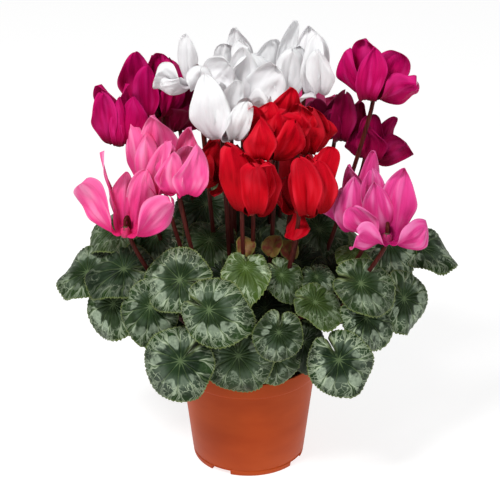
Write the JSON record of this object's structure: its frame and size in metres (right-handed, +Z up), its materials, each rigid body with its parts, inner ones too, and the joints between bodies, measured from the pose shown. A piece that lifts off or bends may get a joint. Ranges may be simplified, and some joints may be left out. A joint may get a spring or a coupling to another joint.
{
  "type": "potted cyclamen",
  "caption": "Cyclamen in full bloom in a small nursery pot: marbled heart-shaped leaves under nodding flowers with swept-up petals in white, pink, red and magenta.",
  "frame": {"origin": "centre of the pot's underside, on the surface that the pot stands on", "axes": "+Z up along the pot's axis, the plant's front faces -Y, +X to the viewer's right"},
  "size_m": [0.3416, 0.2275, 0.3794],
  "materials": {
    "pot_plastic": "semi-matt terracotta-coloured moulded plastic",
    "potting_soil": "dark crumbly peat potting soil",
    "stalk": "smooth brown-red plant stalk, slightly glossy",
    "leaf": "waxy dark green blade with silver marbling",
    "young_leaf": "soft reddish yellow-green young blade",
    "petal_white": "soft satin white petal",
    "petal_pink": "soft satin pink petal with a paler edge",
    "petal_rose": "soft satin rose-pink petal",
    "petal_red": "velvety red petal",
    "petal_magenta": "velvety magenta petal"
  },
  "bodies": {
    "root": {"pot": "pot_plastic", "soil": "potting_soil", "crown": "stalk", "leaf_left_top": "leaf", "leaf_left_wide": "leaf", "leaf_left_inner": "leaf", "leaves_left_far": "leaf", "leaves_front_left": "leaf", "leaf_rim_left": "leaf", "leaf_front_tall": "leaf", "leaf_front_bright": "leaf", "leaf_front_folded": "leaf", "leaf_front_low": "leaf", "leaf_front_right": "leaf", "leaf_right_small": "leaf", "leaf_right_wide": "leaf", "leaf_right_pale": "leaf", "leaves_right_low": "leaf", "leaves_right_far": "leaf", "leaf_rim_right": "leaf", "leaf_rim_front": "leaf", "leaf_rim_middle": "leaf", "leaf_centre_top": "leaf", "leaf_centre_left": "leaf", "leaf_centre_right": "leaf", "leaves_centre_back": "leaf", "leaves_back_right": "leaf", "leaves_back_middle": "leaf", "leaves_back_left": "leaf", "leaves_back_far_left": "leaf", "leaf_back_low": "leaf", "leaf_back_far_right": "leaf", "young_leaf_left": "young_leaf", "young_leaf_middle": "young_leaf", "young_leaf_right": "young_leaf", "magenta_left_front": "petal_magenta", "magenta_left_rear": "petal_magenta", "magenta_left_inner": "petal_magenta", "magenta_right_top": "petal_magenta", "magenta_right_inner": "petal_magenta", "magenta_right_low": "petal_magenta", "white_left": "petal_white", "white_front": "petal_white", "white_middle": "petal_white", "white_top": "petal_white", "whites_right": "petal_white", "pink_left_front": "petal_pink", "pink_left_rear": "petal_pink", "pink_left_inner": "petal_pink", "pink_back": "petal_pink", "red_front": "petal_red", "red_middle": "petal_red", "red_top": "petal_red", "red_right_top": "petal_red", "red_right": "petal_red", "red_small": "petal_red", "red_left": "petal_red", "red_back": "petal_red", "rose_right_front": "petal_rose", "rose_right": "petal_rose"}
  },
  "joints": []
}
